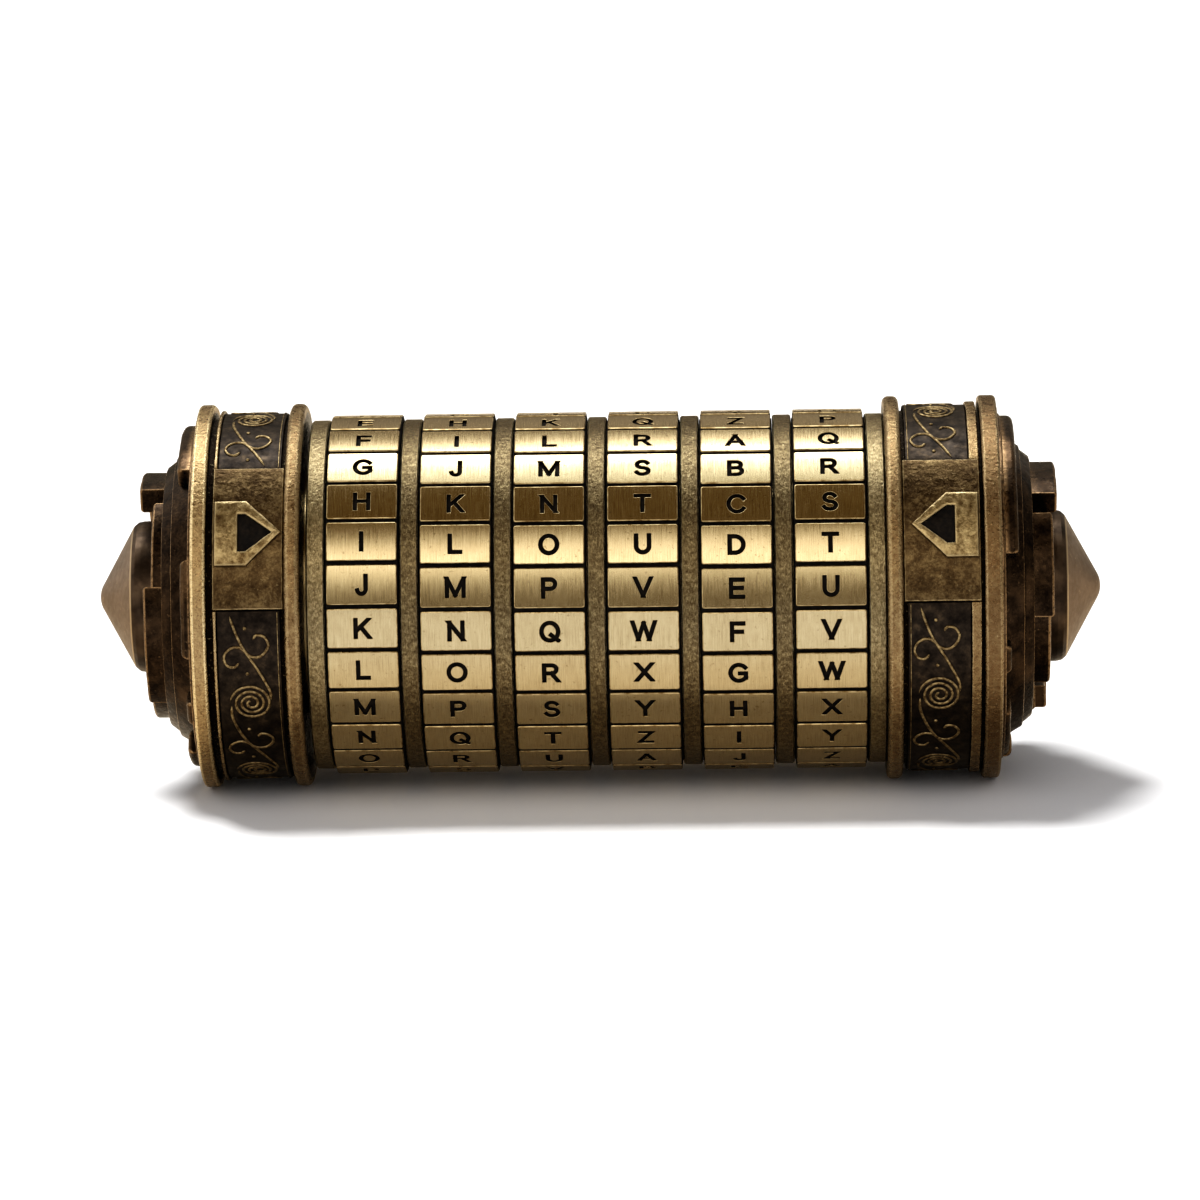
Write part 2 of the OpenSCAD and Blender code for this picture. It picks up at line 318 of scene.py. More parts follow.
class Graph(Nodes):
    """A material and its nodes."""

    def __init__(self, name):
        self.material = bpy.data.materials.new(name)
        self.material.use_nodes = True
        super().__init__(self.material.node_tree)
        self.shader = self.tree.nodes["Principled BSDF"]
        self.coords = self.node("ShaderNodeTexCoord").outputs["Object"]

    def stretched(self, x, y, z):
        made = self.node("ShaderNodeMapping")
        made.inputs["Scale"].default_value = (x, y, z)
        self.put(self.coords, made.inputs["Vector"])
        return made.outputs["Vector"]

    def noise(self, scale, detail=4, rough=0.55, vector=None, distort=0):
        made = self.node("ShaderNodeTexNoise")
        for name, x in (("Vector", vector or self.coords), ("Scale", scale), ("Detail", detail),
                        ("Roughness", rough), ("Distortion", distort)):
            self.put(x, made.inputs[name])
        return made.outputs["Fac"]

    def bump(self, height, distance, strength=1.0, after=None):
        made = self.node("ShaderNodeBump")
        for name, x in (("Strength", strength), ("Distance", distance), ("Height", height)):
            self.put(x, made.inputs[name])
        if after:
            self.put(after, made.inputs["Normal"])
        return made.outputs["Normal"]

    def finish(self, colour, roughness, normal=None, metallic=1.0):
        self.put(colour, self.shader.inputs["Base Color"])
        self.put(roughness, self.shader.inputs["Roughness"])
        self.shader.inputs["Metallic"].default_value = metallic
        if normal:
            self.put(normal, self.shader.inputs["Normal"])
        return self.material

    def recolour(self, change):
        """Replaces the base colour with what change makes of it."""
        base = self.shader.inputs["Base Color"]
        self.put(change(base.links[0].from_socket), base)

    def radius(self):
        """Distance from the cylinder's axis, in metres."""
        axes = self.axes(self.coords)
        up = self.math("SUBTRACT", axes["Z"], AXIS_Z)
        square = self.math("ADD", self.math("MULTIPLY", axes["Y"], axes["Y"]),
                           self.math("MULTIPLY", up, up))
        return self.math("SQRT", square)

    def brushed(self, across, along):
        """Coordinates stretched around the cylinder: scales along its axis and per radian."""
        axes = self.axes(self.coords)
        up = self.math("SUBTRACT", axes["Z"], AXIS_Z)
        angle = self.math("ARCTAN2", up, self.math("MULTIPLY", axes["Y"], -1.0))
        made = self.node("ShaderNodeCombineXYZ")
        self.put(self.math("MULTIPLY", axes["X"], across), made.inputs["X"])
        self.put(self.math("MULTIPLY", angle, along), made.inputs["Y"])
        return made.outputs[0]

    def mark(self, attribute):
        """1 on a piece's worn edges, or in its recesses."""
        read = self.node("ShaderNodeAttribute", attribute_name=attribute)
        return self.fit(read.outputs["Fac"], 0.25, 0.8)

    def facing_ends(self, low, high):
        """1 where the surface faces along the cylinder, as the sides of its rings do."""
        normal = self.node("ShaderNodeNewGeometry").outputs["Normal"]
        return self.fit(self.math("ABSOLUTE", self.axes(normal)["X"]), low, high)


def shade(colour, factor):
    return tuple(c * factor for c in colour)


def antique(name, dark, mid, light, worn, patch=260, grain=2600, rough=(0.32, 0.5), contrast=0.13,
            grit=0.5, ring=False, cuff_light_and_shade=False, rubbed=None):
    """Aged cast brass: mottled patina, painted shade in the recesses and rubbed bright edges.

    ring: turned, with sides painted near black as shade; cuff_light_and_shade: a cuff, with grooves
    painted dark as shade, its left outer rim painted light and its right outer rim painted shade."""
    g = Graph(name)
    if ring:
        fine = g.noise(1.0, 4, 0.7, g.brushed(6500.0, 45.0))
        grains = g.noise(1.0, 4, 0.65, g.brushed(4200.0, 30.0))
    else:
        fine, grains = g.noise(grain, 4, 0.7), g.noise(grain * 0.6, 4, 0.65)
    mottle = g.math("ADD", g.math("MULTIPLY", g.noise(patch, 6, 0.62, distort=0.6), 0.55),
                    g.math("MULTIPLY", fine, 0.45))
    colour = g.ramp(mottle, (0.5 - contrast, dark), (0.5, mid), (0.5 + contrast, light))
    patchy = g.fit(g.noise(patch * 4, 4, 0.6), 0.32, 0.56, 0.25, 1.0)
    if ring:
        bevel = g.math("SUBTRACT", g.facing_ends(0.2, 0.5), g.facing_ends(0.8, 0.95), clamp=True)
        colour = g.mix(g.math("MULTIPLY", bevel, patchy), colour, worn)
        # Painted shade: the ring's sides, which face the next dials across narrow gaps, made nearly
        # black.
        colour = g.mix(g.facing_ends(0.85, 0.97), colour, shade(dark, 0.12))
    else:
        if rubbed:
            colour = g.mix(g.fit(g.noise(150, 3, 0.5), 0.5, 0.68, 0.0, 0.75), colour, rubbed)
        if cuff_light_and_shade:
            # Painted light on the left outer rim, painted shade on the right outer rim and in the
            # grooves.
            colour, patchy = rims_lit_and_shaded(g, colour, patchy, dark)
        colour = g.mix(g.math("MULTIPLY", g.mark("worn"), patchy), colour, worn)
        # Painted shade: the recesses darkened almost to black.
        colour = g.mix(g.math("MULTIPLY", g.mark("recess"), 0.85), colour, shade(dark, 0.2))
    colour = g.mix(g.fit(grains, 0.6, 0.74, 0.0, 0.4), colour, worn)
    roughness = g.fit(g.noise(grain * 0.5, 3), 0.35, 0.65, *rough)
    normal = g.bump(grains, 0.00012, grit)
    normal = g.bump(g.noise(patch * 1.6, 3), 0.00015, 0.35, after=normal)
    g.finish(colour, roughness, normal)
    return g


def rims_lit_and_shaded(g, colour, patchy, dark):
    """The cuffs' colour and wear: left outer rim painted light, right outer rim and grooves painted
    shade.
    """
    along, radius = g.axes(g.coords)["X"], g.radius()
    # Painted light: the left outer rim made lighter, in patches.
    left = g.math("MULTIPLY", g.fit(along, -LEFT_RIM - SOFT, -LEFT_RIM + SOFT, 0.4, 0.0), patchy)
    colour = g.mix(left, colour, LIT_LEFT_RIM)
    # Painted shade: the right outer rim made darker, with fewer worn patches.
    colour = g.mix(g.fit(along, RIGHT_RIM - SOFT, RIGHT_RIM + SOFT, 0.0, 0.5), colour, dark)
    patchy = g.math("MULTIPLY", patchy, g.fit(along, RIGHT_RIM - SOFT, RIGHT_RIM + SOFT, 1.0, 0.25))
    # Painted shade: the grooves, below that radius, darkened almost to black.
    sunk = g.fit(radius, GROOVE_SHADE_R - 0.12 * MM, GROOVE_SHADE_R + 0.12 * MM, 1.0, 0.0)
    colour = g.mix(sunk, colour, shade(dark, 0.1))
    out = g.fit(radius, GROOVE_SHADE_R + 0.4 * MM, GROOVE_SHADE_R + 0.8 * MM, 0.3, 1.0)
    return colour, g.math("MULTIPLY", patchy, out)


def brushed_tile():
    """Light brass tiles: brushed around the dial, very slightly crowned, with darker smudges.

    across is a tile's own attribute: -0.5 to 0.5 from its lower to its upper groove."""
    g = Graph("tile_brass")
    across = g.node("ShaderNodeAttribute", attribute_name="across").outputs["Fac"]
    crown = g.math("MULTIPLY", g.math("MULTIPLY", across, across), -1.0)
    scratch = g.noise(1.0, 4, 0.7, vector=g.brushed(9000.0, 7.0))
    smudge = g.noise(330, 6, 0.68, distort=0.3)
    tone = g.math("ADD", g.math("MULTIPLY", scratch, 0.72), g.math("MULTIPLY", smudge, 0.28))
    colour = g.ramp(tone, (0.34, (0.36, 0.285, 0.165)), (0.48, (0.47, 0.385, 0.235)),
                    (0.64, (0.55, 0.465, 0.30)))
    specks = g.fit(g.noise(2100, 3, 0.6), 0.3, 0.37, 0.45, 0.0)
    colour = g.mix(specks, colour, (0.18, 0.12, 0.05))
    roughness = g.fit(scratch, 0.35, 0.65, 0.21, 0.27)
    normal = g.bump(crown, 0.00042)
    normal = g.bump(scratch, 0.000014, 0.6, after=normal)
    tangent = g.node("ShaderNodeTangent", direction_type="RADIAL", axis="X")
    g.put(tangent.outputs[0], g.shader.inputs["Tangent"])
    g.shader.inputs["Anisotropic"].default_value = 0.7
    g.shader.inputs["Anisotropic Rotation"].default_value = 0.25
    return g.finish(colour, roughness, normal)


def bright_edge():
    """The tiles' softened edges, polished by fingers."""
    g = Graph("tile_edge")
    colour = g.ramp(g.noise(900, 4, 0.6), (0.35, (0.22, 0.15, 0.065)), (0.6, (0.50, 0.40, 0.23)))
    return g.finish(colour, g.fit(g.noise(1300, 3), 0.3, 0.7, 0.26, 0.4),
                    g.bump(g.noise(2600, 3), 0.00003, 0.5))


def near_black_paint_and_shade():
    """Near black: the paint left in the letters and grooves, and painted shade on the dials' sides
    and insides and in the arrow's hole.
    """
    g = Graph("black_paint_and_shade")
    g.shader.inputs["Specular IOR Level"].default_value = 0.15
    colour = g.ramp(g.noise(1500, 3), (0.35, (0.006, 0.0045, 0.0035)), (0.7, (0.02, 0.014, 0.009)))
    return g.finish(colour, g.fit(g.noise(900, 2), 0.3, 0.7, 0.6, 0.8),
                    g.bump(g.noise(2500, 3), 0.00004, 0.5), metallic=0.0)


def relief_patina():
    """Near-black panel whose relief, standing further out, is rubbed back to brass."""
    g = Graph("scroll_patina")
    panel = g.ramp(g.noise(700, 5, 0.65), (0.35, (0.018, 0.014, 0.0115)),
                   (0.55, (0.042, 0.032, 0.024)), (0.7, (0.085, 0.062, 0.041)))
    brass = g.ramp(g.noise(1900, 4, 0.7), (0.38, (0.11, 0.073, 0.035)), (0.6, (0.36, 0.28, 0.155)))
    out = g.math("ADD", g.radius(), g.math("MULTIPLY", g.noise(1800, 3), 0.00012))
    colour = g.mix(g.fit(out, BAND_R + 0.09 * MM, BAND_R + 0.17 * MM), panel, brass)
    normal = g.bump(g.noise(2200, 4), 0.00005, 0.5)
    return g.finish(colour, g.fit(g.noise(800, 3), 0.3, 0.7, 0.34, 0.52), normal)


def rub_back(g, low, high):
    """Brightens what stands further from the axis, as handling does to raised work."""
    brass = g.ramp(g.noise(900, 6, 0.75), (0.36, (0.12, 0.078, 0.036)),
                   (0.5, (0.27, 0.205, 0.108)), (0.64, (0.42, 0.335, 0.19)))
    brass = g.mix(g.math("MULTIPLY", g.mark("worn"), 0.55), brass, (0.52, 0.42, 0.25))
    g.recolour(lambda under: g.mix(g.fit(g.radius(), low, high), under, brass))


def darken_out(g, low, high):
    """Dark patina on what stands further from the axis, such as the side of a cone's boss, and a
    light band painted as a highlight just inside it, where the cone meets the boss.
    """
    radius = g.radius()
    # Painted highlight: a light band along the edge where the cone meets the boss.
    border = g.fit(radius, low - 0.3 * MM, low - 0.1 * MM, 0.0, 0.8)
    patina = g.ramp(g.noise(420, 4, 0.5), (0.34, (0.042, 0.029, 0.02)), (0.66, (0.105, 0.074, 0.05)))
    g.recolour(lambda under: g.mix(border, under, (0.46, 0.36, 0.24)))
    g.recolour(lambda under: g.mix(g.fit(radius, low, high), under, patina))


def turned(name, colour, rough):
    """Plain lathe-turned metal of the parts inside: fine rings along the axis."""
    g = Graph(name)
    rings = g.noise(1.0, 3, vector=g.stretched(7000, 60, 60))
    tint = g.ramp(g.noise(180, 4), (0.3, shade(colour, 0.72)), (0.7, colour))
    return g.finish(tint, g.fit(rings, 0.3, 0.7, rough - 0.06, rough + 0.08),
                    g.bump(rings, 0.00002, 0.6))


def paper_white():
    """White paper, whose reflection in the metal is painted browner close in front of the cylinder.
    """
    g = Graph("floor_white")
    tint = g.ramp(g.noise(14, 2), (0.3, (0.93, 0.93, 0.93)), (0.7, (0.95, 0.95, 0.95)))
    # Painted reflection: for mirror rays only, the paper close in front is browner.
    close = g.fit(g.axes(g.coords)["Y"], -75 * MM, -12 * MM)
    mirrored = g.node("ShaderNodeLightPath").outputs["Is Glossy Ray"]
    tint = g.mix(g.math("MULTIPLY", close, mirrored), tint, (0.79, 0.69, 0.53))
    return g.finish(tint, 0.75, metallic=0.0)


BAND_R = 23.8 * MM
GROOVE_SHADE_R = 23.95 * MM  # below this a cuff's grooves are painted dark, as shade
PLATE_R = 24.3 * MM
# How far from the middle the two outer rims change colour, the left painted light and the right
# painted shade, and half the width of that change
LEFT_RIM, RIGHT_RIM, SOFT = 49.5 * MM, 49.4 * MM, 0.2 * MM
# The colour of the light painted on the left outer rim.
LIT_LEFT_RIM = (0.56, 0.42, 0.23)
RING = dict(patch=1900, grain=5600, rough=(0.28, 0.42), grit=0.9, ring=True)

tile_brass = brushed_tile()
tile_edge = bright_edge()
black_paint_and_shade = near_black_paint_and_shade()
scroll_patina = relief_patina()
ring_brass = antique(
    "ring_brass", dark=(0.07, 0.047, 0.024), mid=(0.165, 0.125, 0.068), light=(0.33, 0.265, 0.15),
    worn=(0.80, 0.69, 0.46), **RING).material
end_ring_brass = antique(
    "end_ring_brass", dark=(0.12, 0.086, 0.046), mid=(0.26, 0.205, 0.115), light=(0.46, 0.38, 0.23),
    worn=(0.84, 0.74, 0.5), **RING).material
cuff_brass = antique(
    "cuff_brass", dark=(0.125, 0.072, 0.034), mid=(0.24, 0.165, 0.085), light=(0.36, 0.275, 0.15),
    worn=(0.76, 0.63, 0.39), patch=900, grain=3600, rough=(0.24, 0.4), contrast=0.17, grit=1.0,
    cuff_light_and_shade=True).material
plate = antique(
    "plate_brass", dark=(0.036, 0.021, 0.010), mid=(0.098, 0.065, 0.032),
    light=(0.21, 0.152, 0.078), worn=(0.36, 0.285, 0.165), patch=360, rough=(0.28, 0.44),
    contrast=0.14, grit=0.9)
cap_bronze = antique(
    "cap_bronze", dark=(0.011, 0.0068, 0.0043), mid=(0.030, 0.019, 0.0115),
    light=(0.060, 0.038, 0.022), worn=(0.25, 0.165, 0.09), patch=520, rough=(0.26, 0.4), grit=0.35,
    rubbed=(0.10, 0.062, 0.034)).material
cone = antique(
    "cone_bronze", dark=(0.15, 0.106, 0.074), mid=(0.205, 0.152, 0.11), light=(0.255, 0.194, 0.144),
    worn=(0.48, 0.375, 0.25), patch=300, rough=(0.36, 0.46), contrast=0.2, grit=0.2)
darken_out(cone, 9.3 * MM, 9.42 * MM)
rub_back(plate, PLATE_R + 0.22 * MM, PLATE_R + 0.42 * MM)
inner_brass = turned("inner_brass", (0.72, 0.55, 0.29), 0.3)
steel = turned("steel", (0.56, 0.56, 0.58), 0.3)


# ---------- letter dials

TILE_R = 23.33 * MM           # to the flat of a tile
GROOVE = 0.5 * MM
ENGRAVED = 0.38 * MM
SEATED = ENGRAVED + 0.2 * MM  # how deep a tile's plate reaches into the dial
TILE_CORNER = 0.3 * MM
CAP_HEIGHT = 2.7 * MM
LETTER_EDGE = 0.06 * MM
TILE_EDGE = 0.14 * MM
BORE_R, SPLINE_R = 19.8 * MM, 21 * MM
THRUST_R = (21.2 * MM, 22.3 * MM)  # the shoulder on either side, on which a dial turns
THRUST_H = 0.14 * MM


def arc(x, y, rx, ry, first, last, steps=16):
    """Points of an elliptical arc, in letter units."""
    turns = [radians(first + (last - first) * k / steps) for k in range(steps + 1)]
    return [(x + rx * cos(t), y + ry * sin(t)) for t in turns]


# Each capital's strokes, along their middles: 1 unit tall, starting at 0 on the left.
STROKES = {
    "A": [[(0, 0), (0.44, 1), (0.88, 0)], [(0.13, 0.31), (0.75, 0.31)]],
    "B": [[(0, 0), (0, 1), (0.42, 1), *arc(0.42, 0.765, 0.26, 0.235, 80, -90), (0, 0.53)],
          [(0.42, 0.53), *arc(0.44, 0.265, 0.3, 0.265, 80, -90), (0, 0)]],
    "C": [arc(0.49, 0.5, 0.49, 0.53, 38, 322, 32)],
    "D": [[(0, 0), (0, 1), (0.3, 1), *arc(0.3, 0.5, 0.5, 0.5, 85, -90, 24), (0, 0)]],
    "E": [[(0.68, 1), (0, 1), (0, 0), (0.7, 0)], [(0, 0.52), (0.63, 0.52)]],
    "F": [[(0.66, 1), (0, 1), (0, 0)], [(0, 0.5), (0.58, 0.5)]],
    "G": [arc(0.49, 0.5, 0.49, 0.53, 40, 325, 32), [(0.56, 0.46), (0.9, 0.46), (0.9, 0.17)]],
    "H": [[(0, 0), (0, 1)], [(0.78, 0), (0.78, 1)], [(0, 0.52), (0.78, 0.52)]],
    "I": [[(0, 0), (0, 1)]],
    "J": [[(0.5, 1), (0.5, 0.24), *arc(0.25, 0.22, 0.25, 0.25, -10, -170)]],
    "K": [[(0, 0), (0, 1)], [(0.7, 1), (0.1, 0.42)], [(0.3, 0.6), (0.76, 0)]],
    "L": [[(0, 1), (0, 0), (0.6, 0)]],
    "M": [[(0, 0), (0, 1), (0.49, 0.05), (0.98, 1), (0.98, 0)]],
    "N": [[(0, 0), (0, 1), (0.77, 0), (0.77, 1)]],
    "O": [arc(0.49, 0.5, 0.49, 0.53, 0, 360, 40)],
    "P": [[(0, 0), (0, 1), (0.42, 1), *arc(0.42, 0.73, 0.29, 0.27, 80, -90), (0, 0.46)]],
    "Q": [arc(0.49, 0.5, 0.49, 0.53, 0, 360, 40), [(0.56, 0.3), (0.98, -0.04)]],
    "R": [[(0, 0), (0, 1), (0.44, 1), *arc(0.44, 0.735, 0.28, 0.265, 80, -90), (0, 0.47)],
          [(0.42, 0.47), (0.77, 0)]],
    "S": [[*arc(0.37, 0.765, 0.32, 0.26, 25, 270), *arc(0.37, 0.245, 0.36, 0.26, 85, -158)]],
    "T": [[(0, 1), (0.76, 1)], [(0.38, 1), (0.38, 0)]],
    "U": [[(0, 1), *arc(0.38, 0.34, 0.38, 0.37, 180, 360), (0.76, 1)]],
    "V": [[(0, 1), (0.44, 0), (0.88, 1)]],
    "W": [[(0, 1), (0.32, 0), (0.64, 0.95), (0.96, 0), (1.28, 1)]],
    "X": [[(0, 0), (0.8, 1)], [(0, 1), (0.8, 0)]],
    "Y": [[(0, 1), (0.4, 0.45), (0.8, 1)], [(0.4, 0.45), (0.4, 0)]],
    "Z": [[(0.02, 1), (0.7, 1), (0, 0), (0.72, 0)]],
}
CUTTER = 0.52 * MM
CELL = 0.05 * MM


def run_on(before, here, after, rise):
    """How far a stroke runs on past here, to end square or at the letter's top or foot."""
    if before is not None and after is not None:
        turn = (Vector(here) - Vector(before)).angle_signed(Vector(after) - Vector(here), 0)
        if abs(turn) < 1.0:
            return 0
    at_limit = abs(abs(here[1]) - (CAP_HEIGHT - CUTTER) / 2) < 0.02 * MM
    return CUTTER if at_limit and abs(rise) > 0.3 else CUTTER / 2


def cut_depths(strokes, columns, rows):
    """Distance from each grid point to the nearest stroke's edge, below 0 inside the strokes."""
    x, y = np.meshgrid(columns, rows)
    nearest = np.full(x.shape, 1.0)
    half = CUTTER / 2
    for stroke in strokes:
        closed = (Vector(stroke[0]) - Vector(stroke[-1])).length < 0.01 * MM
        padded = [stroke[-2] if closed else None, *stroke, stroke[1] if closed else None]
        for before, (ax, ay), (bx, by), after in zip(padded, padded[1:], padded[2:], padded[3:]):
            length = hypot(bx - ax, by - ay)
            if length < 0.001 * MM:
                continue
            dx, dy = (bx - ax) / length, (by - ay) / length
            along, off = (x - ax) * dx + (y - ay) * dy, (x - ax) * dy - (y - ay) * dx
            short = along - np.clip(along, 0, length)
            nearest = np.minimum(nearest, np.hypot(short, off) - half)
            first = run_on(before, (ax, ay), (bx, by), dy)
            last = run_on((ax, ay), (bx, by), after, dy)
            box = np.maximum(np.abs(off) - half, np.maximum(-along - first, along - length - last))
            nearest = np.minimum(nearest, np.maximum(box, np.abs(y) - CAP_HEIGHT / 2))
    return nearest


def contours(depth, columns, rows):
    """Closed outlines where depth crosses 0, by marching along the grid's edges."""
    def crossing(edge):
        (i, j), (k, m) = edge
        t = depth[i, j] / (depth[i, j] - depth[k, m])
        return Vector((columns[j] + (columns[m] - columns[j]) * t,
                       rows[i] + (rows[k] - rows[i]) * t))

    next_to = {}
    cut = depth < 0
    mixed = cut[:-1, :-1] * 1 + cut[1:, :-1] + cut[:-1, 1:] + cut[1:, 1:]
    for i, j in zip(*np.nonzero((mixed > 0) & (mixed < 4))):
        ring = [(i, j), (i, j + 1), (i + 1, j + 1), (i + 1, j)]
        edges = [tuple(sorted((a, b))) for a, b in zip(ring, ring[1:] + ring[:1])
                 if cut[a] != cut[b]]
        for a, b in zip(edges[::2], edges[1::2]):
            next_to.setdefault(a, []).append(b)
            next_to.setdefault(b, []).append(a)
    loops = []
    while next_to:
        here = next(iter(next_to))
        loop = []
        while here is not None:
            loop.append(crossing(here))
            here = next((n for n in next_to.pop(here) if n in next_to), None)
        loops.append(thinned(loop))
    return loops


def thinned(loop, tolerance=0.006 * MM):
    """The loop without the points that its neighbours already imply."""
    def keep(points):
        if len(points) < 3:
            return points
        a, b = points[0], points[-1]
        normal = Vector((a.y - b.y, b.x - a.x)).normalized()
        far = max(range(1, len(points) - 1), key=lambda i: abs((points[i] - a).dot(normal)))
        if abs((points[far] - a).dot(normal)) < tolerance:
            return [a, b]
        return keep(points[:far + 1])[:-1] + keep(points[far:])

    half = len(loop) // 2
    return keep(loop[:half + 1])[:-1] + keep(loop[half:] + loop[:1])[:-1]


def inside(point, loop):
    """Whether the loop goes round the point."""
    crossings = 0
    for a, b in zip(loop, loop[1:] + loop[:1]):
        if (a.y > point.y) != (b.y > point.y):
            crossings += a.x + (point.y - a.y) / (b.y - a.y) * (b.x - a.x) > point.x
    return crossings % 2 == 1


def nested(loops):
    """The same outlines, anticlockwise round a stroke and clockwise round its holes."""
    out = []
    for loop in loops:
        hole = any(other is not loop and inside(loop[0], other) for other in loops)
        out.append(loop[::-1] if (signed_area(loop) > 0) == hole else loop)
    return out


def letter_loops():
    """Outlines of each capital as a round cutter leaves it, centred on the origin."""
    unit = CAP_HEIGHT - CUTTER
    columns = np.arange(-2.1 * MM, 2.1 * MM, CELL)
    rows = np.arange(-1.75 * MM, 1.75 * MM, CELL)
    loops = {}
    for letter, strokes in STROKES.items():
        wide = max(x for stroke in strokes for x, y in stroke)
        scaled = [[((x - wide / 2) * unit, (y - 0.5) * unit) for x, y in stroke]
                  for stroke in strokes]
        loops[letter] = nested(contours(cut_depths(scaled, columns, rows), columns, rows))
    return loops


def signed_area(loop):
    """The loop's area, above 0 if it runs anticlockwise."""
    return sum(a.x * b.y - b.x * a.y for a, b in zip(loop, loop[1:] + loop[:1])) / 2


def grown(loop, amount):
    """The loop moved to its right by amount at each point: outwards if it runs anticlockwise."""
    out = []
    for a, b, c in zip(loop[-1:] + loop[:-1], loop, loop[1:] + loop[:1]):
        one, two = (b - a).normalized(), (c - b).normalized()
        way = Vector((one.y, -one.x)) + Vector((two.y, -two.x))
        size = max(way.length_squared, 1.0)
        out.append(b + way * (2 * amount / size))
    return out


def add_tile(shell, outline, loops, place):
    """A plate with its letter cut through it and every upper edge softened."""
    rims = [(outline if signed_area(outline) > 0 else outline[::-1], TILE_EDGE)]
    # A letter's strokes are cut away, so its outlines are reversed.
    rims += [(loop[::-1], LETTER_EDGE) for loop in loops]
    tops = [grown(loop, -edge) for loop, edge in rims]
    fill = tessellate_polygon([[p.to_3d() for p in loop] for loop in tops])
    flat = [p for loop in tops for p in loop]
    shell.add([place(p, 0) for p in flat], fill)
    shell.add([place(p, -SEATED) for loop, edge in rims for p in loop], fill, slot=1)
    for (loop, edge), top in zip(rims, tops):
        between = [place(p, -edge * 0.35) for p in grown(loop, -edge * 0.3)]
        rows = [[place(p, 0) for p in top], between, [place(p, -edge) for p in loop]]
        shell.grid(rows, wrap_columns=True, slot=2)
        shell.grid([rows[-1], [place(p, -SEATED) for p in loop]], wrap_columns=True, slot=1)


def letter_dial(index, loops):
    """A dial: paint in its grooves and painted shade on its sides and inside, all near black, with a
    plate for each letter.
    """
    node = f"letter_ring_{index}"
    lag, first = LAGS[index - 1], LETTERS.index(CODE[index - 1])
    lo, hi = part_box(node)
    x, half = (lo.x + hi.x) / 2, (hi.x - lo.x) / 2 - THRUST_H
    tall = TILE_R * tan(radians(STEP / 2)) - GROOVE / 2
    wide = half - 0.05 * MM
    outline = filleted([(-wide, -tall, TILE_CORNER), (wide, -tall, TILE_CORNER),
                        (wide, tall, TILE_CORNER), (-wide, tall, TILE_CORNER)], 3)
    shell = Shell()
    for k in range(len(LETTERS)):
        angle = radians(POINTER_UP - lag - k * STEP)
        out, up = Vector((0, -cos(angle), sin(angle))), Vector((0, sin(angle), cos(angle)))
        centre = Vector((x, 0, AXIS_Z))

        def place(p, height):
            return centre + Vector((p.x, 0, 0)) + up * p.y + out * (TILE_R + height)

        add_tile(shell, outline, loops[LETTERS[(first + k) % len(LETTERS)]], place)
    ground = TILE_R - ENGRAVED
    low, high = THRUST_R
    left, right, step = x - half, x + half, x + 0.5 * MM
    # The dial's body: paint on the grooves' floor, and painted shade on its sides and bore, near
    # black.
    lathe(shell, [
        (left, ground), (right, ground), (right, high), (right + THRUST_H, high),
        (right + THRUST_H, low), (right, low), (right, BORE_R), (step, BORE_R), (step, SPLINE_R),
        (left, SPLINE_R), (left, low), (left - THRUST_H, low), (left - THRUST_H, high),
        (left, high)], len(LETTERS) * 6, slot=1)
    materials = [tile_brass, black_paint_and_shade, tile_edge]
    dial = shell.piece(f"letter_dial_{index}", f"dial_{index}", materials, sharp=12)
    across = []
    for vertex in dial.data.vertices:
        angle = degrees(atan2(vertex.co.z - AXIS_Z, -vertex.co.y))
        row = (angle - POINTER_UP + lag) / STEP
        across.append(row - round(row))
    dial.data.attributes.new("across", "FLOAT", "POINT").data.foreach_set("value", across)
    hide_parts(node)


all_loops = letter_loops()
for i in DIALS:
    letter_dial(i, all_loops)


# ---------- cuffs

RIM_R = 25 * MM
FLOOR_R = 23.1 * MM
LIP_R = 24.2 * MM
RIM_W = 2.05 * MM     # of the dial-side rims
BEAD = 0.75 * MM      # their rounding
OUTER_BEAD = 0.45 * MM  # that of the outer rims
PLATE_HALF = 23.5     # degrees from the pointer line to either edge of the plate
SPIGOT_AT = 7.6 * MM  # where a cap's spigot ends, from the cuff's dial-side face


class End:
    """One end of the cylinder, measured outwards from the cuff's dial-side face."""

    def __init__(self, side):
        lo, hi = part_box(f"{side}_cuff")
        self.side, self.length = side, hi.x - lo.x
        # The widths of outer rim, groove and lip were measured and differ between the ends.
        if side == "right":
            self.way, self.near, self.body, self.bore = 1, lo.x, "casing", 16.86 * MM
            rim, groove, lip = 2.3, 0.4, 1.3
        else:
            self.way, self.near, self.body, self.bore = -1, hi.x, "drawer", 15.34 * MM
            rim, groove, lip = 2, 0.8, 0.45
        self.groove_to = self.length - rim * MM
        self.lip_to = self.groove_to - groove * MM
        self.band_to = self.lip_to - lip * MM

    def at(self, d):
        return self.near + self.way * d

    def beyond(self, d):
        """The x that lies d further out than the cuff."""
        return self.at(self.length + d)

    def place(self, d, angle, r):
        return on_cylinder(self.at(d), r, angle)


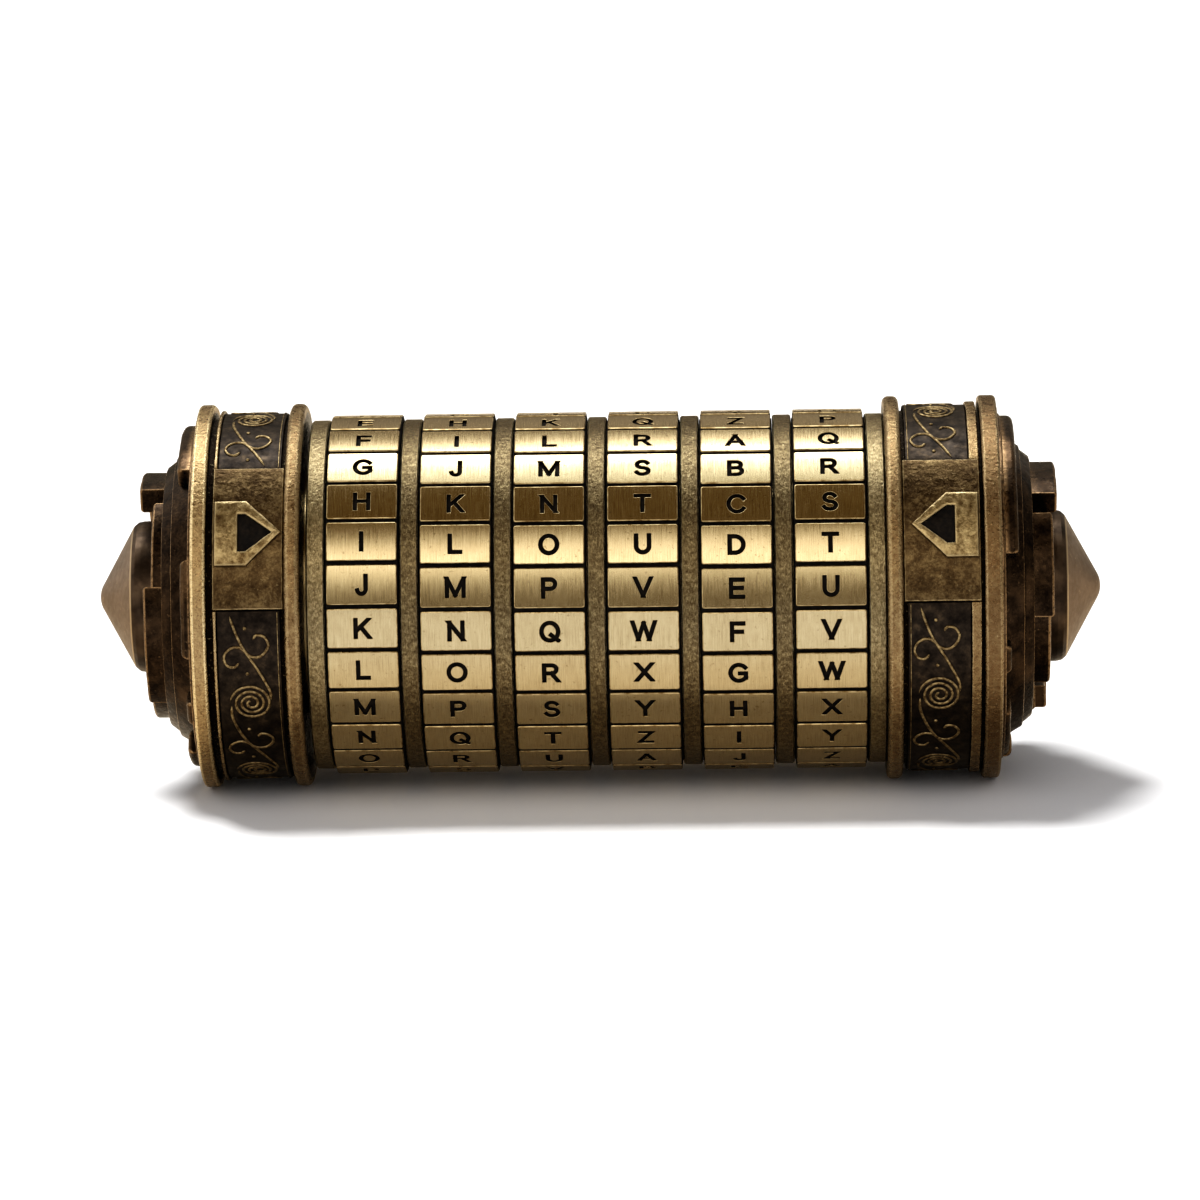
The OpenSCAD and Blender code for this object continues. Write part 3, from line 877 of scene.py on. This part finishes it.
def cuff(end):
    """The turned cuff with its two rims, and the lip beside the scroll band."""
    length = end.length
    spigot_r, step = 20.54 * MM, 6 * MM
    corners = [
        (0, end.bore, 0), (0, RIM_R, BEAD), (RIM_W, RIM_R, BEAD), (RIM_W, FLOOR_R, 0.12 * MM),
        (end.groove_to, FLOOR_R, 0.08 * MM), (end.groove_to, RIM_R, OUTER_BEAD),
        (length, RIM_R, OUTER_BEAD), (length, spigot_r, 0), (step, spigot_r, 0), (step, end.bore, 0)]
    shell = Shell()
    outline = [(end.at(x), r) for x, r in along_loop(filleted(corners, 7), 0.6 * MM)]
    lathe(shell, outline, 360)
    gap = PLATE_HALF + 0.2
    block(shell, (end.band_to, POINTER_UP + gap), (end.lip_to, POINTER_UP + 360 - gap),
          (0.18 * MM, 0.45), (0.3 * MM, 1.5), LIP_R, FLOOR_R - 0.3 * MM, end.place)
    made = shell.piece(f"{end.side}_cuff_rims", end.body, [cuff_brass])
    wear(made, 0.05 * MM, 2.6 * MM)
    wear(made, 0.02 * MM, 0.7 * MM)
    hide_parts(f"{end.side}_cuff")


# Ornament of one period, unrolled: millimetres to the right and downwards of a spiral's centre.
PERIOD = 36  # degrees
FIRST_SPIRAL = -24.5
STEM = [(-2.55, -14.6), (-2.5, -12.6), (-1.7, -10), (-0.7, -7.8), (1.0, -5), (2.4, -2.1),
        (2.62, -0.4)]
RIGHT_CURL = [(-1.0, -8.4), (-0.45, -7.35), (0.35, -6.75), (1.3, -6.75), (2.1, -7.4), (2.5, -8.45),
              (1.95, -9.4), (1.0, -9.6), (0.5, -9.0)]
LEFT_CURL = [(0.0, -6.6), (-0.55, -7.5), (-1.3, -8.0), (-2.2, -7.95), (-3.0, -7.3), (-3.25, -6.4),
             (-2.75, -5.5), (-1.9, -5.35), (-1.3, -6.0)]
DOTS = [(-0.5, -10.5), (-0.3, -4.4)]
SPIRAL_R, SPIRAL_EYE = 2.72, 0.3
SPIRAL_TURNS = 3.25
RIDGE_WIDTH, RIDGE_HEIGHT = 0.46, 0.25
DOT_R, DOT_HEIGHT = 0.3, 0.26
ROOTED = 0.06  # how deep ridges and dots start below the band


def spiral():
    """From the left, over the top and inwards."""
    steps = 90
    out = []
    for k in range(steps + 1):
        t = k / steps
        a = pi + 2 * pi * SPIRAL_TURNS * t
        r = SPIRAL_R * (1 - t) + SPIRAL_EYE * t
        out.append(Vector((r * cos(a), r * sin(a))))
    return out


def ridge(shell, path, to_point):
    """A rounded ridge along an unrolled path, tapering at both ends."""
    rows = []
    last = len(path) - 1
    for i, p in enumerate(path):
        along = (path[min(i + 1, last)] - path[max(i - 1, 0)]).normalized()
        side = Vector((-along.y, along.x))
        taper = min(1, 0.35 + 0.25 * min(i, last - i))
        width, height = RIDGE_WIDTH * taper, RIDGE_HEIGHT * taper
        rows.append([to_point(p + side * (width / 2 * cos(a)), height * sin(a) - ROOTED)
                     for a in (pi * k / 8 for k in range(9))])
    shell.grid(rows)
    shell.grid([[row[0] for row in rows], [row[-1] for row in rows]])
    for row in (rows[0], rows[-1]):
        shell.lid(row)


def dot(shell, centre, to_point):
    """A small dome on an unrolled surface."""
    rows = [[to_point(centre + Vector((cos(b), sin(b))) * (DOT_R * cos(a)),
                      DOT_HEIGHT * sin(a) - ROOTED)
             for b in (2 * pi * k / 12 for k in range(12))]
            for a in (pi / 2 * k / 4 for k in range(5))]
    shell.grid(rows, wrap_columns=True)
    shell.lid(rows[0])


def scroll_band(end):
    """The dark band between the rims, with a fine border and its ornament in relief."""
    band_from, band_to = RIM_W + 0.5 * MM, end.band_to - 0.04 * MM
    gap = PLATE_HALF + 0.3
    first, last = POINTER_UP + gap, POINTER_UP + 360 - gap
    shell = Shell()
    block(shell, (band_from, first), (band_to, last), (0.12 * MM, 0.4), (0.4 * MM, 1.0),
          BAND_R, FLOOR_R + 0.04 * MM, end.place)
    border_from, border_w, border_h = band_from + 0.3 * MM, 0.14 * MM, 0.12 * MM
    block(shell, (border_from, first + 0.5), (border_from + border_w, last - 0.5),
          (0.05 * MM, 0.2), (0.1 * MM, 1.0), BAND_R + border_h, BAND_R - 0.1 * MM, end.place)
    middle = end.at((band_from + band_to) / 2)
    curves = [spiral()] + [smooth_path([Vector(p) for p in points])
                           for points in (STEM, RIGHT_CURL, LEFT_CURL)]
    for period in range(10):
        centre = FIRST_SPIRAL + PERIOD * period

        def angle_of(p):
            return centre - degrees(p.y * MM / BAND_R)

        def to_point(p, height):
            return on_cylinder(middle + p.x * MM, BAND_R + height * MM, angle_of(p))

        def covered(p):
            off = (angle_of(p) - POINTER_UP + 180) % 360 - 180
            return abs(off) < gap + 0.6

        for curve in curves:
            run = []
            for p in curve + [None]:
                if p is not None and not covered(p):
                    run.append(p)
                    continue
                if len(run) > 3:
                    ridge(shell, run, to_point)
                run = []
        for spot in (Vector(d) for d in DOTS):
            if not covered(spot):
                dot(shell, spot, to_point)
    made = shell.piece(f"{end.side}_scrolls", end.body, [scroll_patina], sharp=50)
    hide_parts(f"{end.side}_scroll_band")


def pointer_plate(end):
    """The saddle plate, and on it the arrow with its hole, whose walls and floor are painted shade,
    near black.
    """
    shell = Shell()
    block(shell, (RIM_W + 0.04 * MM, POINTER_UP - PLATE_HALF + 0.1),
          (end.lip_to, POINTER_UP + PLATE_HALF - 0.1), (0.22 * MM, 0.53), (0.5 * MM, 1.2),
          PLATE_R, FLOOR_R + 0.04 * MM, end.place)
    back = end.lip_to - 0.3 * MM

    def raised(p, height):
        return on_cylinder(end.at(back - p.x * MM), PLATE_R + height * MM,
                           POINTER_UP + degrees(p.y * MM / PLATE_R))

    # The outline and the hole have the same five corners in the same order, so strips join them.
    outer = [Vector(p) for p in ((0, -4.33), (4.1, -4.33), (8.6, 0), (4.1, 4.33), (0, 4.33))]
    inner = [Vector(p) for p in ((3.05, -2.45), (4, -2.45), (7.3, 0), (4, 2.45), (3.05, 2.45))]
    counts = [8, 12, 12, 8, 16]

    def sampled(corners):
        pairs = zip(corners, corners[1:] + corners[:1], counts)
        return [a + (b - a) * k / n for a, b, n in pairs for k in range(n)]

    def shifted(corners, amount):
        return sampled(grown(corners, amount))

    # Millimetres above the plate, from inside it, up, over the softened edges and into the hole
    root, top, hole = -0.3, 0.6, 0.17
    levels = [(shifted(outer, 0), root), (shifted(outer, 0), top - 0.22),
              (shifted(outer, -0.08), top - 0.06), (shifted(outer, -0.24), top),
              (shifted(outer, -0.5), top), (shifted(inner, 0.42), top),
              (shifted(inner, 0.2), top), (shifted(inner, 0.07), top - 0.06),
              (shifted(inner, 0), top - 0.2)]
    shell.grid([[raised(p, h) for p in loop] for loop, h in levels], wrap_columns=True)
    shell.lid([raised(p, root) for p in shifted(outer, 0)])
    # Painted shade: the shallow hole's walls and floor are near black.
    deep = [[raised(p, h) for p in shifted(inner, 0)] for h in (top - 0.2, hole)]
    shell.grid(deep, wrap_columns=True, slot=1)
    shell.lid(deep[1], slot=1)
    made = shell.piece(f"{end.side}_pointer", end.body, [plate.material, black_paint_and_shade])
    wear(made, 0.04 * MM, 1.3 * MM)
    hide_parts(f"{end.side}_pointer_plate")


# ---------- end caps and finials

# The cap's raised arcs as in the CAD: inner and outer radius, first and last angle, height.
ARC_TURN = 11  # by which either cap is turned
ARCS = [
    (12.8, 16.2, 59, 132.5, 7.6), (12.8, 16.2, -58.4, 4.3, 6.7), (13.1, 15.9, 2, 49.6, 5.7),
    (13.1, 15.9, -89.5, -56, 6.3), (12.8, 16.2, 144.5, 194.5, 6.9), (13.1, 15.9, 192, 232, 6.4),
    (12.8, 16.2, 261, 269, 4.8), (10.3, 13.4, 122, 250, 6.6), (19, 22.3, 47, 169.3, 2.2),
    (19, 22.3, -21.3, 11.9, 1.5), (19, 22.3, -48.3, -38.7, 1.2), (19, 22.3, -90, -66, 1.7),
    (19, 22.3, 200.4, 210.4, 1.2), (19, 22.3, 227.6, 261, 1.2)]
# The rounding of the outermost arcs, which the cap's widest tier carries, and of the others
FOOT_ARC_EDGE, ARC_EDGE = 0.75, 0.4
# Each tier's radius at its foot and top, and the height of its top
TIERS = [(22.6, 22.6, 0.5), (19.8, 18.3, 3), (17.9, 16.9, 4.3)]
RECESS = 3.4 * MM  # in the spigot, for the finial's nut
STUD = 3.2 * MM    # how far the finial's stud stands into it


def end_cap(end):
    """The stepped cap with its raised arcs, and the spigot inside the cuff."""
    spigot = end.length - SPIGOT_AT
    soft = 0.22 * MM
    spigot_r, recess_r, hole = 20.5 * MM, 12.9 * MM, 2.1 * MM
    corners = [(-spigot, recess_r, 0), (-spigot, spigot_r, 0), (0, spigot_r, 0)]
    height = 0
    for foot_r, top_r, top in TIERS:
        corners += [(height, foot_r * MM, 0), (top * MM, top_r * MM, soft)]
        height = top * MM
    corners += [(height, hole, 0), (RECESS - spigot, hole, 0), (RECESS - spigot, recess_r, 0)]
    shell = Shell()
    lathe(shell, [(end.beyond(x), r) for x, r in along_loop(filleted(corners, 4), 0.6 * MM)])

    def place(r, turn, height):
        angle = turn + ARC_TURN if end.side == "left" else 180 - (turn - ARC_TURN)
        return on_cylinder(end.beyond(height), r, angle)

    for r0, r1, a0, a1, top in ARCS:
        edge = FOOT_ARC_EDGE if r1 > 20 else ARC_EDGE
        block(shell, (r0 * MM, a0), (r1 * MM, a1), (edge * MM, degrees(edge * 0.8 / r1)),
              (0.5 * MM, 2), top * MM, 0.2 * MM, place)
    made = shell.piece(f"{end.side}_cap", end.body, [cap_bronze])
    wear(made, 0.05 * MM, 2.2 * MM)
    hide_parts(f"{end.side}_end_cap")


def finial(end):
    """The boss and cone at the tip, on a stud that goes through the cap."""
    stud_from = RECESS - (end.length - SPIGOT_AT) - STUD
    tier, tip = TIERS[-1][2] * MM, 13.55 * MM
    stud_r, boss_r = 2 * MM, 9.9 * MM
    nose_r, nose_turns = 3.4 * MM, [radians(t) for t in range(26, 3, -4)]
    corners = [
        (stud_from, 0, 0), (stud_from, stud_r, 0), (tier, stud_r, 0), (tier, boss_r, 0),
        (7.6 * MM, boss_r, 0.3 * MM), (8.35 * MM, 9.75 * MM, 0.3 * MM),
        (8.95 * MM, 9.25 * MM, 0.2 * MM),
        *[(tip - nose_r * (1 - cos(t)), nose_r * sin(t), 0) for t in nose_turns], (tip, 0, 0)]
    shell = Shell()
    # The points on the axis itself are left out, and one is put back at each end.
    outline = [(end.beyond(x), r) for x, r in along_loop(filleted(corners, 5), 0.7 * MM)
               if r > 0.001 * MM]
    outline = [(end.beyond(stud_from), 0), *outline, (end.beyond(tip), 0)]
    lathe(shell, outline, 144, closed=False)
    made = shell.piece(f"{end.side}_cone", end.body, [cone.material])
    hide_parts(f"{end.side}_finial")


for side in ("left", "right"):
    this_end = End(side)
    cuff(this_end)
    scroll_band(this_end)
    pointer_plate(this_end)
    end_cap(this_end)
    finial(this_end)


# ---------- CAD nodes that stay as they are

KEPT = {"spacer_ring": ring_brass, "lock_ring": end_ring_brass, "end_spacer": end_ring_brass,
        "sleeve": inner_brass, "drawer_": inner_brass, "code_ring": inner_brass,
        "code_lugs": steel, "cap_screws": steel, "finial_nut": steel}
for name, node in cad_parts.items():
    for part, material in KEPT.items():
        if part in name:
            node.data.materials.clear()
            node.data.materials.append(material)


# ---------- floor, light and camera

def paper_floor():
    reach = 6.0
    mesh = bpy.data.meshes.new("floor")
    mesh.from_pydata([(-reach, -reach, 0), (reach, -reach, 0), (reach, reach, 0), (-reach, reach, 0)],
                     [], [(0, 1, 2, 3)])
    mesh.materials.append(paper_white())
    floor = added("floor", mesh)


# What the metal mirrors at each elevation, in degrees from the front horizon up and over: a softbox
# in front, a stronger one overhead.
DIM, FRONT_BOX, TOP_BOX = (0.165, 0.108, 0.035), (1.95, 1.88, 1.75), (6.3, 6.6, 6.9)
SKY = [(0, (0.2, 0.16, 0.1)), (9, (0.24, 0.19, 0.12)), (15, (0.5, 0.45, 0.35)),
       (21, (1.4, 1.35, 1.22)), (27, FRONT_BOX), (38, FRONT_BOX), (43, (1.4, 1.34, 1.22)),
       (47, (0.36, 0.29, 0.18)), (52, DIM), (82, DIM), (91, (1.2, 1.2, 1.1)),
       (97, (1.55, 1.72, 1.85)), (101, (1.9, 2.0, 2.1)), (106, TOP_BOX), (114, TOP_BOX),
       (120, (2.6, 2.6, 2.5)), (127, (0.9, 0.84, 0.74)), (132, (0.3, 0.26, 0.2)),
       (150, (0.45, 0.4, 0.33)), (170, (0.15, 0.12, 0.08))]
LEFT_SKY, RIGHT_SKY = (0.98, 0.95, 0.9), (0.42, 0.39, 0.34)


def studio_world():
    """White for the camera, soft fill for the floor, and softboxes overhead and in front."""
    world = bpy.data.worlds.new("studio")
    world.use_nodes = True
    scene.world = world
    w = Nodes(world.node_tree)
    w.tree.nodes.clear()
    way = w.axes(w.node("ShaderNodeTexCoord").outputs["Generated"])
    front = w.math("MULTIPLY", way["Y"], -1.0)
    elevation = w.math("ARCTAN2", way["Z"], front)
    boxes = w.ramp(w.math("DIVIDE", elevation, pi), *((angle / 180, c) for angle, c in SKY))
    # Towards either end of the cylinder that angle means nothing, so the level turns even there,
    # and it does so sooner on the right, away from the key light.
    sideways = w.math("MAXIMUM", w.math("MULTIPLY", way["X"], 1.8),
                      w.math("MULTIPLY", way["X"], -1.0))
    ends = w.mix(w.fit(way["X"], -0.3, 0.3, curve="LINEAR"), LEFT_SKY, RIGHT_SKY)
    mirrored = w.mix(w.fit(sideways, 0.35, 0.85), boxes, ends)
    # Most of the fill comes from in front, so the floor is as light right up to the cylinder.
    fill_level = w.math("ADD", w.math("MAXIMUM", front, 0.0), 0.12)

    def background(colour, strength=1.0):
        made = w.node("ShaderNodeBackground")
        w.put(colour, made.inputs["Color"])
        w.put(strength, made.inputs["Strength"])
        return made.outputs[0]

    def choose(ray, otherwise, then):
        made = w.node("ShaderNodeMixShader")
        for value, socket in zip((ray, otherwise, then), made.inputs):
            w.put(value, socket)
        return made.outputs[0]

    rays = w.node("ShaderNodeLightPath").outputs
    shown = choose(rays["Is Glossy Ray"], background((1, 0.985, 1.0, 1), fill_level),
                   background(mirrored))
    shown = choose(rays["Is Camera Ray"], shown, background((1, 1, 1, 1)))
    w.put(shown, w.node("ShaderNodeOutputWorld").inputs[0])


def key_light():
    """A large soft source overhead, behind and to the left, which the metal doesn't mirror."""
    data = bpy.data.lights.new("overhead", "SUN")
    data.energy = 2.6
    data.angle = radians(17)
    light = added("overhead", data)
    light.rotation_euler = (radians(-15), radians(-17), 0)
    light.visible_glossy = False


def photo_camera():
    """Long lens, eleven degrees above the cylinder and a little right of its middle."""
    distance, elevation, foot, roll = 940 * MM, radians(11), 19 * MM, radians(-0.95)
    data = bpy.data.cameras.new("camera")
    data.sensor_width = 36
    data.lens = 215.4
    data.clip_start, data.clip_end = 0.05, 30
    camera = added("camera", data)
    place = Vector((foot, -distance * cos(elevation), AXIS_Z + distance * sin(elevation)))
    target = Vector((0, 0, AXIS_Z - 1.2 * MM))
    turn = (target - place).to_track_quat("-Z", "Y").to_matrix().to_4x4()
    camera.matrix_world = Matrix.Translation(place) @ turn @ Matrix.Rotation(roll, 4, "Z")
    scene.camera = camera


paper_floor()
studio_world()
key_light()
photo_camera()
scene.view_settings.view_transform = "Standard"
scene.view_settings.look = "High Contrast"
